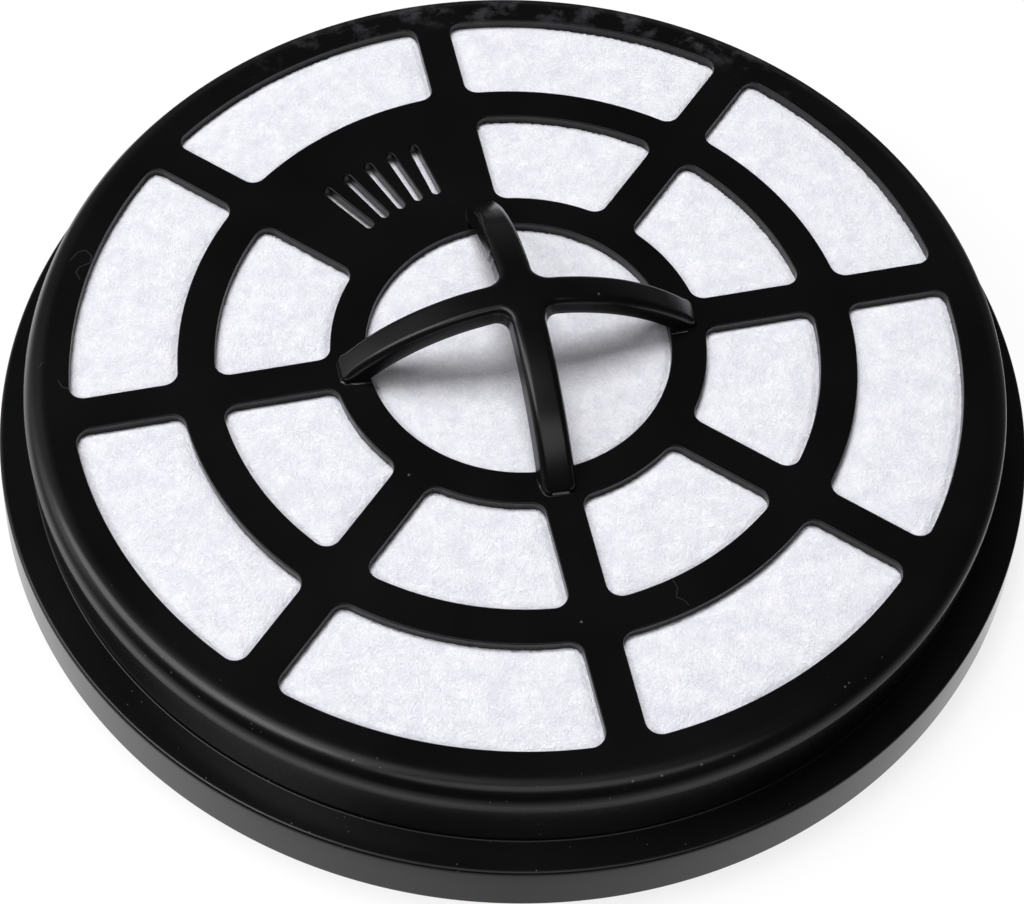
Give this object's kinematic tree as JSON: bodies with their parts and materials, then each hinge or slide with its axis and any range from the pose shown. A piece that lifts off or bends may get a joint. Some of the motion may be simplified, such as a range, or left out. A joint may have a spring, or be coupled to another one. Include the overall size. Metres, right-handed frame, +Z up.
{
  "type": "vacuum motor filter",
  "caption": "Round vacuum motor filter: a black moulded frame with a flanged rim, a spoked grille and a domed cross handle over a white fleece pad.",
  "frame": {"origin": "centre of the base, on the plane of the skirt's foot", "axes": "+Z up through the handle, +X along a spoke and a strap of the handle"},
  "size_m": [0.14, 0.14, 0.0299],
  "materials": {
    "black_plastic": "satin moulded plastic",
    "white_fleece": "needled white fleece"
  },
  "bodies": {
    "root": {"frame": "black_plastic", "filter_pad": "white_fleece", "back_grille": "black_plastic"}
  },
  "joints": []
}
